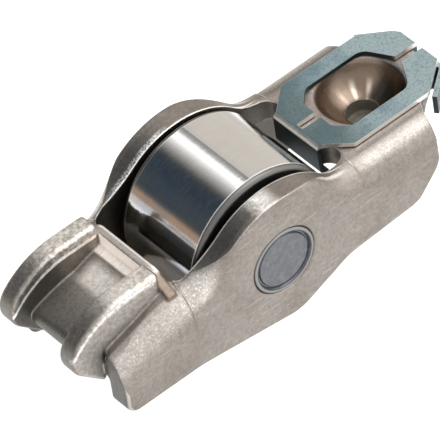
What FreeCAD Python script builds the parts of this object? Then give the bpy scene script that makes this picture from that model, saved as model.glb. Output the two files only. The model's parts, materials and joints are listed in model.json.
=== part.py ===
import FreeCAD, Part
import math
import os

# Rocker arm of the roller finger follower type: a pressed steel arm with a pivot socket at one
# end, a valve pad between two guide rails at the other, and a cam roller on needles in between.
# Millimetres. Everything is drawn in the arm's own axes: the roller axis is the origin and lies
# along Y, +X runs to the pivot socket and +Z is the side that faces the valve and the pivot.
# The last step lays the finished pieces down the way the arm lies on a bench, and moves the
# center of the pivot ball to the origin.

# Sheet and channel
sheet = 2.4
arm_width = 17.4
shoulder_radius = 3.3
edge_round = 0.35
lower_edge_round = 0.5
wall_front_x = -20.15
wall_rear_x = 19.75

# Side view of the channel, top edge
valve_web_front_z = 0.4
window_sill_z = 3.4
socket_web_z = 4.0
web_bend_radius = 8.0
foot_round = 5.2
foot_front_lift = 1.3
foot_rear_lift = 0.4
foot_end_x = -7.5

# Humps of the side walls beside the roller
hump_radius = 9.4
hump_center_x = 0.2
hump_top_z = 7.9
hump_front_slope_deg = 38.0
hump_split_slope_deg = 5.0
hump_rear_slope_deg = 45.0
hump_front_foot_x = -11.0
hump_rear_foot_x = 10.6
front_crest_reach = 0.25
rear_crest_reach = 0.3
rear_foot_reach = 0.45

# How the outer side of a hump is rounded, from its front foot to its rear foot: the radius, and
# how far above the sheared crest that rounding would end
hump_rounds = (5.2, 1.0, 0.9, 2.2, 3.0)
hump_lifts = (0.45, 0.6, 0.6, 0.1, 0.03)

# Side view of the walls, lower edge
valve_lower_z = -6.15
toe_radius = 1.4
bulge_start_x = -11.0
bulge_x = 1.1
bulge_z = -7.8
bulge_radius = 4.5
bulge_end_x = 7.6
bulge_end_z = -5.15
heel_x = 16.6
heel_z = -4.6
heel_radius = 2.5
heel_top_z = -1.4

# Window for the roller
window_front_x = -11.45
window_rear_x = 9.9
window_corner_radius = 1.7
window_flank_x = 7.2
lobe_radius = 1.55
lobe_x = 9.3
lobe_y = 4.35

# Plan of the nose behind the socket
nose_x = 24.6
nose_half_width = 2.3
nose_radius = 2.2
nose_neck_x = 20.0
nose_neck_y = 5.7

# Valve pad, guide rails and cross rim
rail_gap = 6.9
rail_width = 2.25
rail_rear_x = -12.4
rail_top_z = 5.5
rail_flat_end_x = -16.35
rail_drop_radius = 9.0
rail_nose_radius = 2.6
rail_nose_turn_deg = 45.0
rail_toe_x = -20.4
rail_toe_z = -3.1
rail_heel_radius = 0.5
rail_edge_round = 0.45
pad_crown_radius = 17.0
pad_crown_x = -14.2
pad_crown_z = 1.95
pad_front_x = -21.9
pad_front_radius = 1.1
rim_front_x = -12.45
rim_top_z = 4.45
rim_root_radius = 0.8
rim_half_length = 6.75
rim_level_half = 3.9
rim_end_z = 2.85
rim_end_radius = 3.0
relief_width = 0.4
relief_length = 0.6
relief_depth_z = -0.9

# Pivot socket
socket_x = 17.5
ball_radius = 4.6
ball_above_web = 1.3
lip_radius = 0.75
dome_wall = 2.3
dome_root_radius = 0.6
oil_pocket_radius = 1.75
oil_pocket_low_z = -0.5
oil_hole_radius = 0.75

# Roller, axle and needles
roller_radius = 8.5
roller_width = 11.1
roller_edge = 0.6
roller_bore_chamfer = 0.3
axle_radius = 3.7
axle_fit = 0.01
axle_end_recess = 0.05
axle_edge = 0.12
bore_chamfer = 0.2
caulk_disc_radius = 2.9
caulk_disc_depth = 0.12
caulk_groove_depth = 0.3
caulk_groove_width = 0.12
needle_diameter = 1.5
needle_length = 10.4
needle_end_round = 0.2
race_clearance = 0.03
needle_side_gap = 0.04

# Retaining clip of spring sheet
clip_sheet = 0.5
clip_lift = 0.12
clip_end_gap = 0.15
clip_bend = 0.2
clip_rear_round = 0.3
clip_half_width = 5.5
clip_front_half = 3.25
clip_rear_half = 2.65
clip_front_shoulder_x = 12.2
clip_rear_shoulder_x = 21.6
clip_inner_half = 3.55
clip_inner_front_x = 12.2
clip_inner_front_half = 2.1
clip_inner_shoulder_front_x = 13.6
clip_inner_shoulder_rear_x = 20.8
clip_inner_rear_x = 22.5
clip_rear_slot = 1.0
clip_front_slot = 0.9
clip_ear_offset = 0.25
clip_ear_length = 4.1
clip_ear_drop = 0.55
clip_ear_depth = 1.5
clip_ear_leg = 0.8
clip_hook_gap = 0.35
clip_front_hook = 1.1
clip_rear_hook = 0.7
clip_front_hook_half = 1.8
clip_rear_hook_half = 2.3

# Worked out from the values above
half_width = arm_width / 2
inner_half = half_width - sheet
shoulder_y = half_width - shoulder_radius
rail_inner_y = rail_gap / 2
rail_outer_y = rail_inner_y + rail_width
web_under_z = socket_web_z - sheet
ball_z = socket_web_z + ball_above_web
roller_bore = axle_radius + needle_diameter + 2 * race_clearance
needle_pitch = axle_radius + race_clearance + needle_diameter / 2
needle_pitch_step = 2 * math.asin((needle_diameter + needle_side_gap) / 2 / needle_pitch)
needle_count = int(2 * math.pi / needle_pitch_step)
far_out = 4 * arm_width

Vector = FreeCAD.Vector


def side(x, z, y=0.0):
    return Vector(x, y, z)


def plan(x, y, z=0.0):
    return Vector(x, y, z)


def rounded_outline(points, place):
    """A closed wire through (a, b, corner radius) points, with tangent arcs at the corners."""
    edges = []
    count = len(points)
    corners = []
    for i, (a, b, radius) in enumerate(points):
        here = Vector(a, b, 0)
        before = Vector(points[i - 1][0], points[i - 1][1], 0) - here
        after = Vector(points[(i + 1) % count][0], points[(i + 1) % count][1], 0) - here
        before.normalize()
        after.normalize()
        if radius <= 0:
            corners.append((here, None, here))
            continue
        half = before.getAngle(after) / 2
        reach = radius / math.tan(half)
        middle = (before + after).normalize()
        center = here + middle * (radius / math.sin(half))
        corners.append((here + before * reach, center - middle * radius, here + after * reach))
    for i, (start, middle, end) in enumerate(corners):
        if middle is not None:
            arc = Part.Arc(place(start.x, start.y), place(middle.x, middle.y), place(end.x, end.y))
            edges.append(arc.toShape())
        following = corners[(i + 1) % count][0]
        if (following - end).Length > 1e-6:
            edges.append(Part.makeLine(place(end.x, end.y), place(following.x, following.y)))
    return Part.Wire(edges)


def side_prism(wire, y_low, y_high):
    """The solid of an outline in the side view, between two places across the arm."""
    face = Part.Face(wire)
    face.translate(Vector(0, y_low, 0))
    return face.extrude(Vector(0, y_high - y_low, 0))


def plan_prism(wire, z_low, z_high):
    face = Part.Face(wire)
    face.translate(Vector(0, 0, z_low))
    return face.extrude(Vector(0, 0, z_high - z_low))


def box(x_low, x_high, y_low, y_high, z_low, z_high):
    return Part.makeBox(x_high - x_low, y_high - y_low, z_high - z_low, Vector(x_low, y_low, z_low))


def mirrored(shape):
    return shape.mirror(Vector(0, 0, 0), Vector(0, 1, 0))


def both_sides(shape):
    return shape.fuse(mirrored(shape))


def edges_where(shape, test):
    return [edge for edge in shape.Edges if test(edge)]


def lies_at_side(edge, y):
    return all(abs(abs(vertex.Y) - y) < 1e-4 for vertex in edge.Vertexes)


def middle_of(edge):
    return edge.valueAt((edge.FirstParameter + edge.LastParameter) / 2)


def start_of(edge):
    return edge.valueAt(edge.FirstParameter)


def end_of(edge):
    return edge.valueAt(edge.LastParameter)


def channel_outside():
    """The outer form of the bent sheet without the humps: side view outline, rounded shoulders."""
    low = [
        (wall_front_x, valve_lower_z, toe_radius),
        (bulge_start_x, valve_lower_z, 3 * bulge_radius),
        (bulge_x, bulge_z, bulge_radius),
        (bulge_end_x, bulge_end_z, 1.2 * bulge_radius),
        (heel_x, heel_z, heel_radius),
        (wall_rear_x, heel_top_z, heel_radius),
        (wall_rear_x, web_under_z, 0),
    ]
    high = [
        (nose_x + sheet, web_under_z, 0),
        (nose_x + sheet, socket_web_z, 0),
        (hump_rear_foot_x, socket_web_z, web_bend_radius),
        (window_front_x, window_sill_z, web_bend_radius),
        (wall_front_x, valve_web_front_z, 0),
    ]
    body = side_prism(rounded_outline(low + high, side), -half_width, half_width)

    def is_shoulder(edge):
        spot = middle_of(edge)
        level = valve_web_front_z if spot.x < 0 else web_under_z
        upright = abs(edge.Vertexes[0].X - edge.Vertexes[-1].X) < 1e-3
        return lies_at_side(edge, half_width) and spot.z > level and not upright

    body = body.makeFillet(shoulder_radius, edges_where(body, is_shoulder))
    lower = edges_where(body, lambda e: lies_at_side(e, half_width) and middle_of(e).z < bulge_end_z + 1
                        and abs(e.Vertexes[0].X - e.Vertexes[-1].X) > 1e-3)
    return body.makeFillet(lower_edge_round, lower).common(foot_trim())


def foot_trim():
    """The rounder form that the shoulder takes on the way to the humps; open above behind it."""
    slope = (window_sill_z - valve_web_front_z) / (window_front_x - wall_front_x)
    front = wall_front_x - sheet
    low = bulge_z - sheet
    high = hump_top_z + sheet
    outline = [
        (front, low, 0),
        (nose_x + 2 * sheet, low, 0),
        (nose_x + 2 * sheet, high, 0),
        (foot_end_x, high, 0),
        (foot_end_x, window_sill_z + foot_rear_lift, 0),
        (window_front_x, window_sill_z + foot_rear_lift, web_bend_radius),
        (front, valve_web_front_z - slope * sheet + foot_front_lift, 0),
    ]
    form = side_prism(rounded_outline(outline, side), -half_width, half_width)
    top = edges_where(form, lambda e: lies_at_side(e, half_width) and front < middle_of(e).x < foot_end_x
                      and middle_of(e).z > low + sheet)
    return form.makeFillet(foot_round, top)


def crown_center():
    return side(hump_center_x, hump_top_z - hump_radius)


def crown_point(slope_deg, lift=0.0):
    slope = math.radians(slope_deg)
    radius = hump_radius + lift
    return crown_center() + side(radius * math.sin(slope), radius * math.cos(slope))


def smooth_curve(start, start_reach, end, end_reach):
    curve = Part.BezierCurve()
    curve.setPoles([start, start + start_reach, end - end_reach, end])
    return curve.toShape()


def crest(lifts):
    """The top edge of a hump in four stretches, raised by the given amounts at their five ends."""
    front_foot = side(hump_front_foot_x, window_sill_z + edge_round / 2 + lifts[0])
    rear_foot = side(hump_rear_foot_x, socket_web_z + lifts[4])
    slopes = (-hump_front_slope_deg, hump_split_slope_deg, hump_rear_slope_deg)
    front, split, rear = [crown_point(slope, lift) for slope, lift in zip(slopes, lifts[1:4])]
    front_turn, split_turn, rear_turn = [math.radians(slope) for slope in slopes]
    front_run = front.x - front_foot.x
    rear_run = rear_foot.x - rear.x
    front_reach = side(front_run * front_crest_reach, -front_run * front_crest_reach * math.tan(front_turn))
    rear_reach = side(rear_run * rear_crest_reach, -rear_run * rear_crest_reach * math.tan(rear_turn))
    arc_reach = 4 / 3 * math.tan((rear_turn - split_turn) / 4) * (hump_radius + (lifts[2] + lifts[3]) / 2)
    return [
        smooth_curve(front_foot, side(front_run * front_crest_reach, 0), front, front_reach),
        Part.Arc(front, crown_point((slopes[0] + slopes[1]) / 2, lifts[1]), split).toShape(),
        smooth_curve(split, side(arc_reach * math.cos(split_turn), -arc_reach * math.sin(split_turn)),
                     rear, side(arc_reach * math.cos(rear_turn), -arc_reach * math.sin(rear_turn))),
        smooth_curve(rear, rear_reach, rear_foot, side(rear_run * rear_foot_reach, 0)),
    ]


def hump_stretch(top, corners, radius_start, radius_end):
    """One stretch of a hump, rounded on the outer side from one radius to the other."""
    ends = [end_of(top)] + corners + [start_of(top)]
    lines = [Part.makeLine(ends[i], ends[i + 1]) for i in range(len(ends) - 1)]
    piece = side_prism(Part.Wire([top] + lines), shoulder_y - shoulder_radius, half_width)
    along = middle_of(top) + Vector(0, half_width, 0)
    outer = edges_where(piece, lambda e: (middle_of(e) - along).Length < sheet / 10)
    forwards = (outer[0].Vertexes[0].Point - start_of(top)).Length < half_width + sheet / 10
    radii = (radius_start, radius_end) if forwards else (radius_end, radius_start)
    return piece.makeFillet(radii[0], radii[1], outer)


def hump():
    """The wall beside the roller rises in a hump with a sheared top. Its stretches meet on
    planes through the crown's centre, square to the crest, so that their roundings match."""
    center = crown_center()
    front_low = side(hump_front_foot_x, center.z)
    rear_low = side(hump_rear_foot_x, center.z)
    rounded = []
    for i, top in enumerate(crest(hump_lifts)):
        corners = [[center, front_low], [center], [center], [rear_low, center]][i]
        rounded.append(hump_stretch(top, corners, hump_rounds[i], hump_rounds[i + 1]))
    sheared = crest((0, 0, 0, 0, 0))
    under = [Part.makeLine(end_of(sheared[3]), rear_low), Part.makeLine(rear_low, front_low),
             Part.makeLine(front_low, start_of(sheared[0]))]
    below_crest = side_prism(Part.Wire(sheared + under), inner_half - sheet / 2, half_width)
    return rounded[0].fuse(rounded[1:]).common(below_crest)


def channel_inside():
    """The space inside the folded sheet, open downwards."""
    front = wall_front_x - sheet
    under_front = valve_web_front_z - sheet
    slope = (window_sill_z - valve_web_front_z) / (window_front_x - wall_front_x)
    outline = [
        (front, bulge_z - sheet, 0),
        (nose_x + 2 * sheet, bulge_z - sheet, 0),
        (nose_x + 2 * sheet, web_under_z, 0),
        (hump_rear_foot_x, web_under_z, web_bend_radius),
        (window_front_x, window_sill_z - sheet, web_bend_radius),
        (front, under_front - slope * sheet, 0),
    ]
    space = side_prism(rounded_outline(outline, side), -inner_half, inner_half)
    upper = edges_where(space, lambda e: lies_at_side(e, inner_half) and middle_of(e).z > under_front - sheet
                        and abs(e.Vertexes[0].X - e.Vertexes[-1].X) > 1e-3)
    return space.makeFillet(shoulder_radius - sheet, upper)


def window():
    """The opening for the roller, with round relief lobes at its socket end."""
    corner = window_corner_radius
    outline = [
        (window_front_x, -inner_half, corner),
        (window_flank_x, -inner_half, corner),
        (lobe_x, -lobe_y - lobe_radius, 0),
        (lobe_x, lobe_y + lobe_radius, 0),
        (window_flank_x, inner_half, corner),
        (window_front_x, inner_half, corner),
    ]
    low = bulge_z - sheet
    high = hump_top_z + sheet
    opening = plan_prism(rounded_outline(outline, plan), low, high)
    opening = opening.fuse(box(0, window_rear_x, -lobe_y, lobe_y, low, high))
    lobe = Part.makeCylinder(lobe_radius, high - low, Vector(lobe_x, lobe_y, low))
    return opening.fuse([lobe, mirrored(lobe)])


def nose_plan():
    """The plan of the arm: straight sides, and a nose that follows the socket."""
    outline = [
        (pad_front_x - far_out, -half_width - sheet, 0),
        (wall_rear_x - 0.2, -half_width - sheet, 0),
        (wall_rear_x - 0.2, -half_width, edge_round),
        (nose_neck_x, -nose_neck_y, shoulder_radius),
        (nose_x, -nose_half_width, nose_radius),
    ]
    other = [(x, -y, radius) for x, y, radius in reversed(outline)]
    return plan_prism(rounded_outline(outline + other, plan), -far_out, far_out)


def pad_arc(x_from, x_to, depth=0.0):
    """A stretch of the pad's crown, or of the face that lies the given depth below it."""
    radius = pad_crown_radius - depth

    def on_crown(x):
        rise = math.sqrt(radius ** 2 - (x - pad_crown_x) ** 2)
        return side(x, pad_crown_z - pad_crown_radius + rise)

    return Part.Arc(on_crown(x_from), on_crown((x_from + x_to) / 2), on_crown(x_to)).toShape()


def tongue():
    """The valve pad: a crowned face between the rails, on a tongue that passes the walls."""
    crown = pad_arc(pad_front_x, pad_crown_x)
    under = pad_arc(pad_front_x + sheet / 2, pad_crown_x, sheet)
    rear_top = side(window_front_x, pad_crown_z)
    rear_under = side(window_front_x, pad_crown_z - sheet)
    wire = Part.Wire([
        crown,
        Part.makeLine(end_of(crown), rear_top),
        Part.makeLine(rear_top, rear_under),
        Part.makeLine(rear_under, end_of(under)),
        under,
        Part.makeLine(start_of(under), start_of(crown)),
    ])
    body = side_prism(wire, -rail_outer_y, rail_outer_y)
    front_z = start_of(crown).z
    front = edges_where(body, lambda e: all(abs(v.X - pad_front_x) < 1e-4 and abs(v.Z - front_z) < 1e-4
                                            for v in e.Vertexes))
    return body.makeFillet(pad_front_radius, front)


def rail():
    """A guide rail: one sheet thick, flat behind, arched down to a rounded nose in front."""
    flat_end = side(rail_flat_end_x, rail_top_z)
    drop_center = side(rail_flat_end_x, rail_top_z - rail_drop_radius)

    def around(center, radius, angle_deg):
        angle = math.radians(angle_deg)
        return center + Vector(-radius * math.sin(angle), 0, radius * math.cos(angle))

    nose_center = around(drop_center, rail_drop_radius - rail_nose_radius, rail_nose_turn_deg)
    drop = Part.Arc(flat_end, around(drop_center, rail_drop_radius, rail_nose_turn_deg / 2),
                    around(drop_center, rail_drop_radius, rail_nose_turn_deg)).toShape()
    toe = side(rail_toe_x, rail_toe_z)
    reach = toe - nose_center
    # the nose ends where a line from the toe just touches it
    toe_turn_deg = 180 + math.degrees(
        math.atan2(reach.x, -reach.z) - math.acos(rail_nose_radius / reach.Length))
    nose = Part.Arc(around(nose_center, rail_nose_radius, rail_nose_turn_deg),
                    around(nose_center, rail_nose_radius, (rail_nose_turn_deg + toe_turn_deg) / 2),
                    around(nose_center, rail_nose_radius, toe_turn_deg)).toShape()
    under = pad_arc(rail_toe_x + sheet / 2, pad_crown_x, sheet)
    heel_under = side(rail_rear_x, pad_crown_z - sheet)
    heel_low = side(rail_rear_x, rail_top_z - rail_heel_radius)
    heel_high = side(rail_rear_x - rail_heel_radius, rail_top_z)
    turn = rail_heel_radius * (1 - math.sqrt(0.5))
    heel_middle = side(rail_rear_x - turn, rail_top_z - turn)
    wire = Part.Wire([
        drop,
        nose,
        Part.makeLine(end_of(nose), toe),
        Part.makeLine(toe, start_of(under)),
        under,
        Part.makeLine(end_of(under), heel_under),
        Part.makeLine(heel_under, heel_low),
        Part.Arc(heel_low, heel_middle, heel_high).toShape(),
        Part.makeLine(heel_high, flat_end),
    ])
    body = side_prism(wire, rail_inner_y, rail_outer_y)

    def is_rim(edge):
        spot = middle_of(edge)
        along = abs(edge.Vertexes[0].Y - edge.Vertexes[-1].Y) < 1e-4
        ahead = spot.x < rail_rear_x - 1e-3 and (spot.z > pad_crown_z or spot.x < pad_front_x)
        return along and ahead

    return body.makeFillet(rail_edge_round, edges_where(body, is_rim))


def cross_rim():
    """The edge of the sheet turned up between the pad and the window, rounded off at its ends."""
    low = pad_crown_z - sheet / 2
    outline = [
        (rim_front_x - 2 * rim_root_radius, low, 0),
        (window_front_x, low, 0),
        (window_front_x, rim_top_z, edge_round / 3),
        (rim_front_x, rim_top_z, edge_round / 2),
        (rim_front_x, pad_crown_z, rim_root_radius),
        (rim_front_x - 2 * rim_root_radius, pad_crown_z - 0.02, 0),
    ]
    rim = side_prism(rounded_outline(outline, side), -rim_half_length, rim_half_length)
    ends = [
        (-rim_half_length, low, 0),
        (rim_half_length, low, 0),
        (rim_half_length, rim_end_z, 0),
        (rim_level_half, rim_top_z, rim_end_radius),
        (-rim_level_half, rim_top_z, rim_end_radius),
        (-rim_half_length, rim_end_z, 0),
    ]
    across = Part.Face(rounded_outline(ends, lambda y, z: Vector(rim_front_x - sheet, y, z)))
    behind_pad = box(rim_front_x, window_front_x, -half_width, half_width, low, rim_top_z)
    between_rails = box(rim_front_x - sheet, window_front_x, -rail_outer_y, rail_outer_y, low, rim_top_z)
    return rim.common(across.extrude(Vector(2 * sheet, 0, 0))).common(behind_pad.fuse(between_rails))


def relief_notch():
    """A short slit in front, where the shoulder was parted from the tongue."""
    return box(wall_front_x - relief_length, wall_front_x + relief_length, rail_outer_y,
               rail_outer_y + relief_width, relief_depth_z, rail_top_z)


def revolved(edges, center):
    face = Part.Face(Part.Wire(edges))
    face.translate(center)
    return face.revolve(center, Vector(0, 0, 1), 360)


def dome():
    """The back of the pressed socket, below the web."""
    radius = ball_radius + dome_wall
    root = dome_root_radius
    root_x = math.sqrt((radius + root) ** 2 - (ball_z - web_under_z + root) ** 2)
    root_center = side(root_x, web_under_z - root - ball_z)
    touch = root_center * (radius / (radius + root))
    low = side(0, -radius)
    half = math.atan2(touch.x, -touch.z) / 2
    on_dome = side(radius * math.sin(half), -radius * math.cos(half))
    to_touch = (touch - root_center).normalize()
    on_root = root_center + (to_touch + Vector(0, 0, 1)).normalize() * root
    under = side(root_x, web_under_z - ball_z)
    inside = web_under_z + sheet / 2 - ball_z
    edges = [
        Part.Arc(low, on_dome, touch).toShape(),
        Part.Arc(touch, on_root, under).toShape(),
        Part.makeLine(under, side(root_x, inside)),
        Part.makeLine(side(root_x, inside), side(0, inside)),
        Part.makeLine(side(0, inside), low),
    ]
    return revolved(edges, side(socket_x, ball_z))


def socket_space():
    """The ball's seat with its rounded lip, and the oil pocket and hole at its bottom."""
    lip_x = math.sqrt((ball_radius + lip_radius) ** 2 - (ball_above_web + lip_radius) ** 2)
    lip_center = side(lip_x, -ball_above_web - lip_radius)
    touch = lip_center * (ball_radius / (ball_radius + lip_radius))
    pocket_half = math.asin(oil_pocket_radius / ball_radius)
    touch_half = math.atan2(touch.x, -touch.z)
    half = (pocket_half + touch_half) / 2
    on_ball = side(ball_radius * math.sin(half), -ball_radius * math.cos(half))
    to_touch = (touch - lip_center).normalize()
    on_lip = lip_center + (to_touch + Vector(0, 0, 1)).normalize() * lip_radius
    below = -ball_radius - dome_wall - sheet
    pocket_low = oil_pocket_low_z - ball_z
    corners = [
        side(lip_x, -ball_above_web), side(lip_x, sheet), side(0, sheet), side(0, below),
        side(oil_hole_radius, below), side(oil_hole_radius, pocket_low),
        side(oil_pocket_radius, pocket_low), side(oil_pocket_radius, -ball_radius * math.cos(pocket_half)),
    ]
    edges = [Part.makeLine(corners[i], corners[i + 1]) for i in range(len(corners) - 1)]
    edges.append(Part.Arc(corners[-1], on_ball, touch).toShape())
    edges.append(Part.Arc(touch, on_lip, corners[0]).toShape())
    return revolved(edges, side(socket_x, ball_z))


def axle_bores():
    """The bore through both walls, chamfered outside."""
    radius = axle_radius + axle_fit
    bore = Part.makeCylinder(radius, arm_width, Vector(0, -half_width, 0), Vector(0, 1, 0))
    flare = Part.makeCone(radius + bore_chamfer, radius, bore_chamfer,
                          Vector(0, -half_width, 0), Vector(0, 1, 0))
    return bore.fuse([flare, mirrored(flare)])


def make_arm():
    body = channel_outside().fuse(both_sides(hump()))
    body = body.cut(channel_inside())
    body = body.common(nose_plan())
    body = body.fuse([tongue(), cross_rim(), rail(), mirrored(rail()), dome()])
    body = body.cut(both_sides(relief_notch()))
    body = body.cut(window())
    body = body.cut(socket_space())
    body = body.cut(axle_bores())
    return body.removeSplitter()


def make_axle():
    """A turned pin. Its ends are staked: a ring is pressed outwards round a slightly sunk disc."""
    end = half_width - axle_end_recess
    disc = end - caulk_disc_depth
    groove = end - caulk_groove_depth
    groove_outer = caulk_disc_radius + 2 * caulk_groove_width
    half = [
        side(0, disc), side(caulk_disc_radius, disc), side(caulk_disc_radius + caulk_groove_width, groove),
        side(groove_outer, groove), side(groove_outer + caulk_groove_width, end),
        side(axle_radius - axle_edge, end), side(axle_radius, end - axle_edge),
    ]
    points = half + [side(point.x, -point.z) for point in reversed(half)]
    pin = Part.Face(Part.makePolygon(points + [points[0]])).revolve(Vector(0, 0, 0), Vector(0, 0, 1), 360)
    pin.rotate(Vector(0, 0, 0), Vector(1, 0, 0), 90)
    return pin


def make_roller():
    """The outer ring: ground outside, with rounded edges and a plain bore for the needles."""
    half = roller_width / 2
    ring = Part.makeCylinder(roller_radius, roller_width, Vector(0, -half, 0), Vector(0, 1, 0))
    ring = ring.makeFillet(roller_edge, edges_where(ring, lambda e: len(e.Vertexes) == 1))
    bore = Part.makeCylinder(roller_bore, roller_width, Vector(0, -half, 0), Vector(0, 1, 0))
    chamfer = Part.makeCone(roller_bore + roller_bore_chamfer, roller_bore, roller_bore_chamfer,
                            Vector(0, -half, 0), Vector(0, 1, 0))
    return ring.cut(bore.fuse([chamfer, mirrored(chamfer)]))


def make_needle(index):
    radius = needle_diameter / 2
    half = needle_length / 2
    needle = Part.makeCylinder(radius, needle_length, Vector(0, -half, 0), Vector(0, 1, 0))
    needle = needle.makeChamfer(needle_end_round, edges_where(needle, lambda e: len(e.Vertexes) == 1))
    angle = 2 * math.pi * index / needle_count
    needle.translate(Vector(needle_pitch * math.sin(angle), 0, needle_pitch * math.cos(angle)))
    return needle


def clip_bent_sheet():
    """The side view of the clip: a flat top, and at each end a flange that hooks under the web."""
    top = socket_web_z + clip_lift + clip_sheet
    front = window_rear_x - clip_end_gap - clip_sheet
    rear = nose_x + clip_end_gap + clip_sheet
    hook_top = web_under_z - clip_hook_gap
    hook_low = hook_top - clip_sheet
    outer = clip_bend + clip_sheet
    front_hook_x = front + clip_sheet + clip_front_hook
    rear_hook_x = rear - clip_sheet - clip_rear_hook
    outline = [
        (front, top, outer),
        (rear, top, clip_rear_round),
        (rear, hook_low, outer),
        (rear_hook_x, hook_low, 0),
        (rear_hook_x, hook_top, 0),
        (rear - clip_sheet, hook_top, clip_bend),
        (rear - clip_sheet, top - clip_sheet, clip_bend),
        (front + clip_sheet, top - clip_sheet, clip_bend),
        (front + clip_sheet, hook_top, clip_bend),
        (front_hook_x, hook_top, 0),
        (front_hook_x, hook_low, 0),
        (front, hook_low, outer),
    ]
    return side_prism(rounded_outline(outline, side), -clip_half_width, clip_half_width)


def clip_blank():
    """The plan of the clip: a long octagon round the socket, slit on the centre line."""
    front = window_rear_x - clip_end_gap - clip_sheet
    rear = nose_x + clip_end_gap + clip_sheet
    outline = [
        (front - sheet, -clip_front_half, 0),
        (front + clip_sheet, -clip_front_half, clip_sheet),
        (clip_front_shoulder_x, -clip_half_width, clip_sheet),
        (clip_rear_shoulder_x, -clip_half_width, clip_sheet),
        (rear, -clip_rear_half, clip_bend),
        (rear + sheet, -clip_rear_half, 0),
    ]
    other = [(x, -y, radius) for x, y, radius in reversed(outline)]
    return plan_prism(rounded_outline(outline + other, plan), web_under_z - sheet, socket_web_z + sheet)


def clip_opening():
    low = web_under_z - sheet
    high = socket_web_z + sheet
    outline = [
        (clip_inner_front_x, -clip_inner_front_half, clip_sheet),
        (clip_inner_shoulder_front_x, -clip_inner_half, 2 * clip_sheet),
        (clip_inner_shoulder_rear_x, -clip_inner_half, 3 * clip_sheet),
        (clip_inner_rear_x, -clip_rear_slot / 2, clip_sheet / 2),
    ]
    other = [(x, -y, radius) for x, y, radius in reversed(outline)]
    opening = plan_prism(rounded_outline(outline + other, plan), low, high)
    front = window_rear_x - clip_end_gap + clip_bend
    front_half = clip_front_slot / 2
    rear_half = clip_rear_slot / 2
    front_slot = box(front, clip_inner_front_x + clip_sheet, -front_half, front_half, low, high)
    rear_slot = box(clip_inner_rear_x - clip_sheet, nose_x + 2 * sheet, -rear_half, rear_half, low, high)
    return opening.fuse([front_slot, rear_slot])


def clip_ear():
    """The rear flange goes on round the corner, beside the slanted edge, and ends in a short leg."""
    rear = nose_x + clip_end_gap + clip_sheet
    top = socket_web_z + clip_lift + clip_sheet - clip_ear_drop
    shoulder = plan(clip_rear_shoulder_x, clip_half_width)
    run = (shoulder - plan(rear, clip_rear_half)).normalize()
    outwards = Vector(run.y, -run.x, 0)
    inner = plan(rear, clip_rear_half) + outwards * clip_ear_offset
    outer = inner + outwards * clip_sheet
    corner_in = inner + run * ((rear - clip_sheet - inner.x) / run.x)
    corner_out = outer + run * ((rear - outer.x) / run.x)
    end_in = corner_out + run * clip_ear_length - outwards * clip_sheet
    end_out = corner_out + run * clip_ear_length
    outline = [
        (rear - clip_sheet, clip_rear_half - clip_sheet, 0),
        (rear, clip_rear_half - clip_sheet, 0),
        (corner_out.x, corner_out.y, clip_bend + clip_sheet),
        (end_out.x, end_out.y, 0),
        (end_in.x, end_in.y, 0),
        (corner_in.x, corner_in.y, clip_bend),
    ]
    ear = plan_prism(rounded_outline(outline, plan), top - clip_ear_depth, top)
    foot = [end_out, end_in, end_in - run * clip_ear_leg, end_out - run * clip_ear_leg]
    leg = plan_prism(rounded_outline([(spot.x, spot.y, 0) for spot in foot], plan),
                     top - clip_ear_depth - clip_ear_leg, top - clip_ear_depth)
    return ear.fuse(leg)


def hook_trims():
    """The hooks under the web are narrower than the flanges that carry them."""
    low = web_under_z - 2 * sheet
    high = web_under_z
    front = window_rear_x - clip_end_gap + clip_hook_gap
    rear = nose_x + clip_end_gap - clip_hook_gap
    middle = socket_x
    front_trim = box(front, middle, clip_front_hook_half, half_width, low, high)
    rear_trim = box(middle, rear, clip_rear_hook_half, half_width, low, high)
    return both_sides(front_trim.fuse(rear_trim))


def make_clip():
    sheet_form = clip_bent_sheet().common(clip_blank())
    sheet_form = sheet_form.cut(clip_opening()).cut(hook_trims())
    return sheet_form.fuse(both_sides(clip_ear())).removeSplitter()


def rest_tilt_deg():
    """On a bench the arm lies on its roller and on the toes of its walls at the valve end."""
    toe_x = wall_front_x + toe_radius
    toe_z = valve_lower_z + toe_radius
    reach = math.hypot(toe_x, toe_z)
    lean = math.asin((roller_radius - toe_radius) / reach)
    return math.degrees(lean - math.atan2(-toe_z, -toe_x))


def laid_down(shape, turn):
    ball_center = side(socket_x, ball_z)
    shape.rotate(ball_center, Vector(0, 1, 0), turn)
    shape.translate(ball_center * -1)
    return shape


def write(shape, name, turn):
    whole = laid_down(shape.Solids[0], turn)
    whole.exportStep("parts/" + name + ".step")


def main():
    os.makedirs("parts", exist_ok=True)
    turn = -rest_tilt_deg()
    pieces = {
        "arm": make_arm(),
        "axle": make_axle(),
        "roller": make_roller(),
        "retaining_clip": make_clip(),
    }
    for index in range(needle_count):
        pieces["needle_%02d" % (index + 1)] = make_needle(index)
    for name, shape in pieces.items():
        write(shape, name, turn)
        print(name, "valid", shape.isValid(), "solids", len(shape.Solids), "volume", round(shape.Volume, 1))
    print("pieces", len(pieces), "rest tilt", round(-turn, 3))


main()
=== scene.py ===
import json
import math

import bmesh
import bpy
from mathutils import Matrix, Vector


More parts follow.
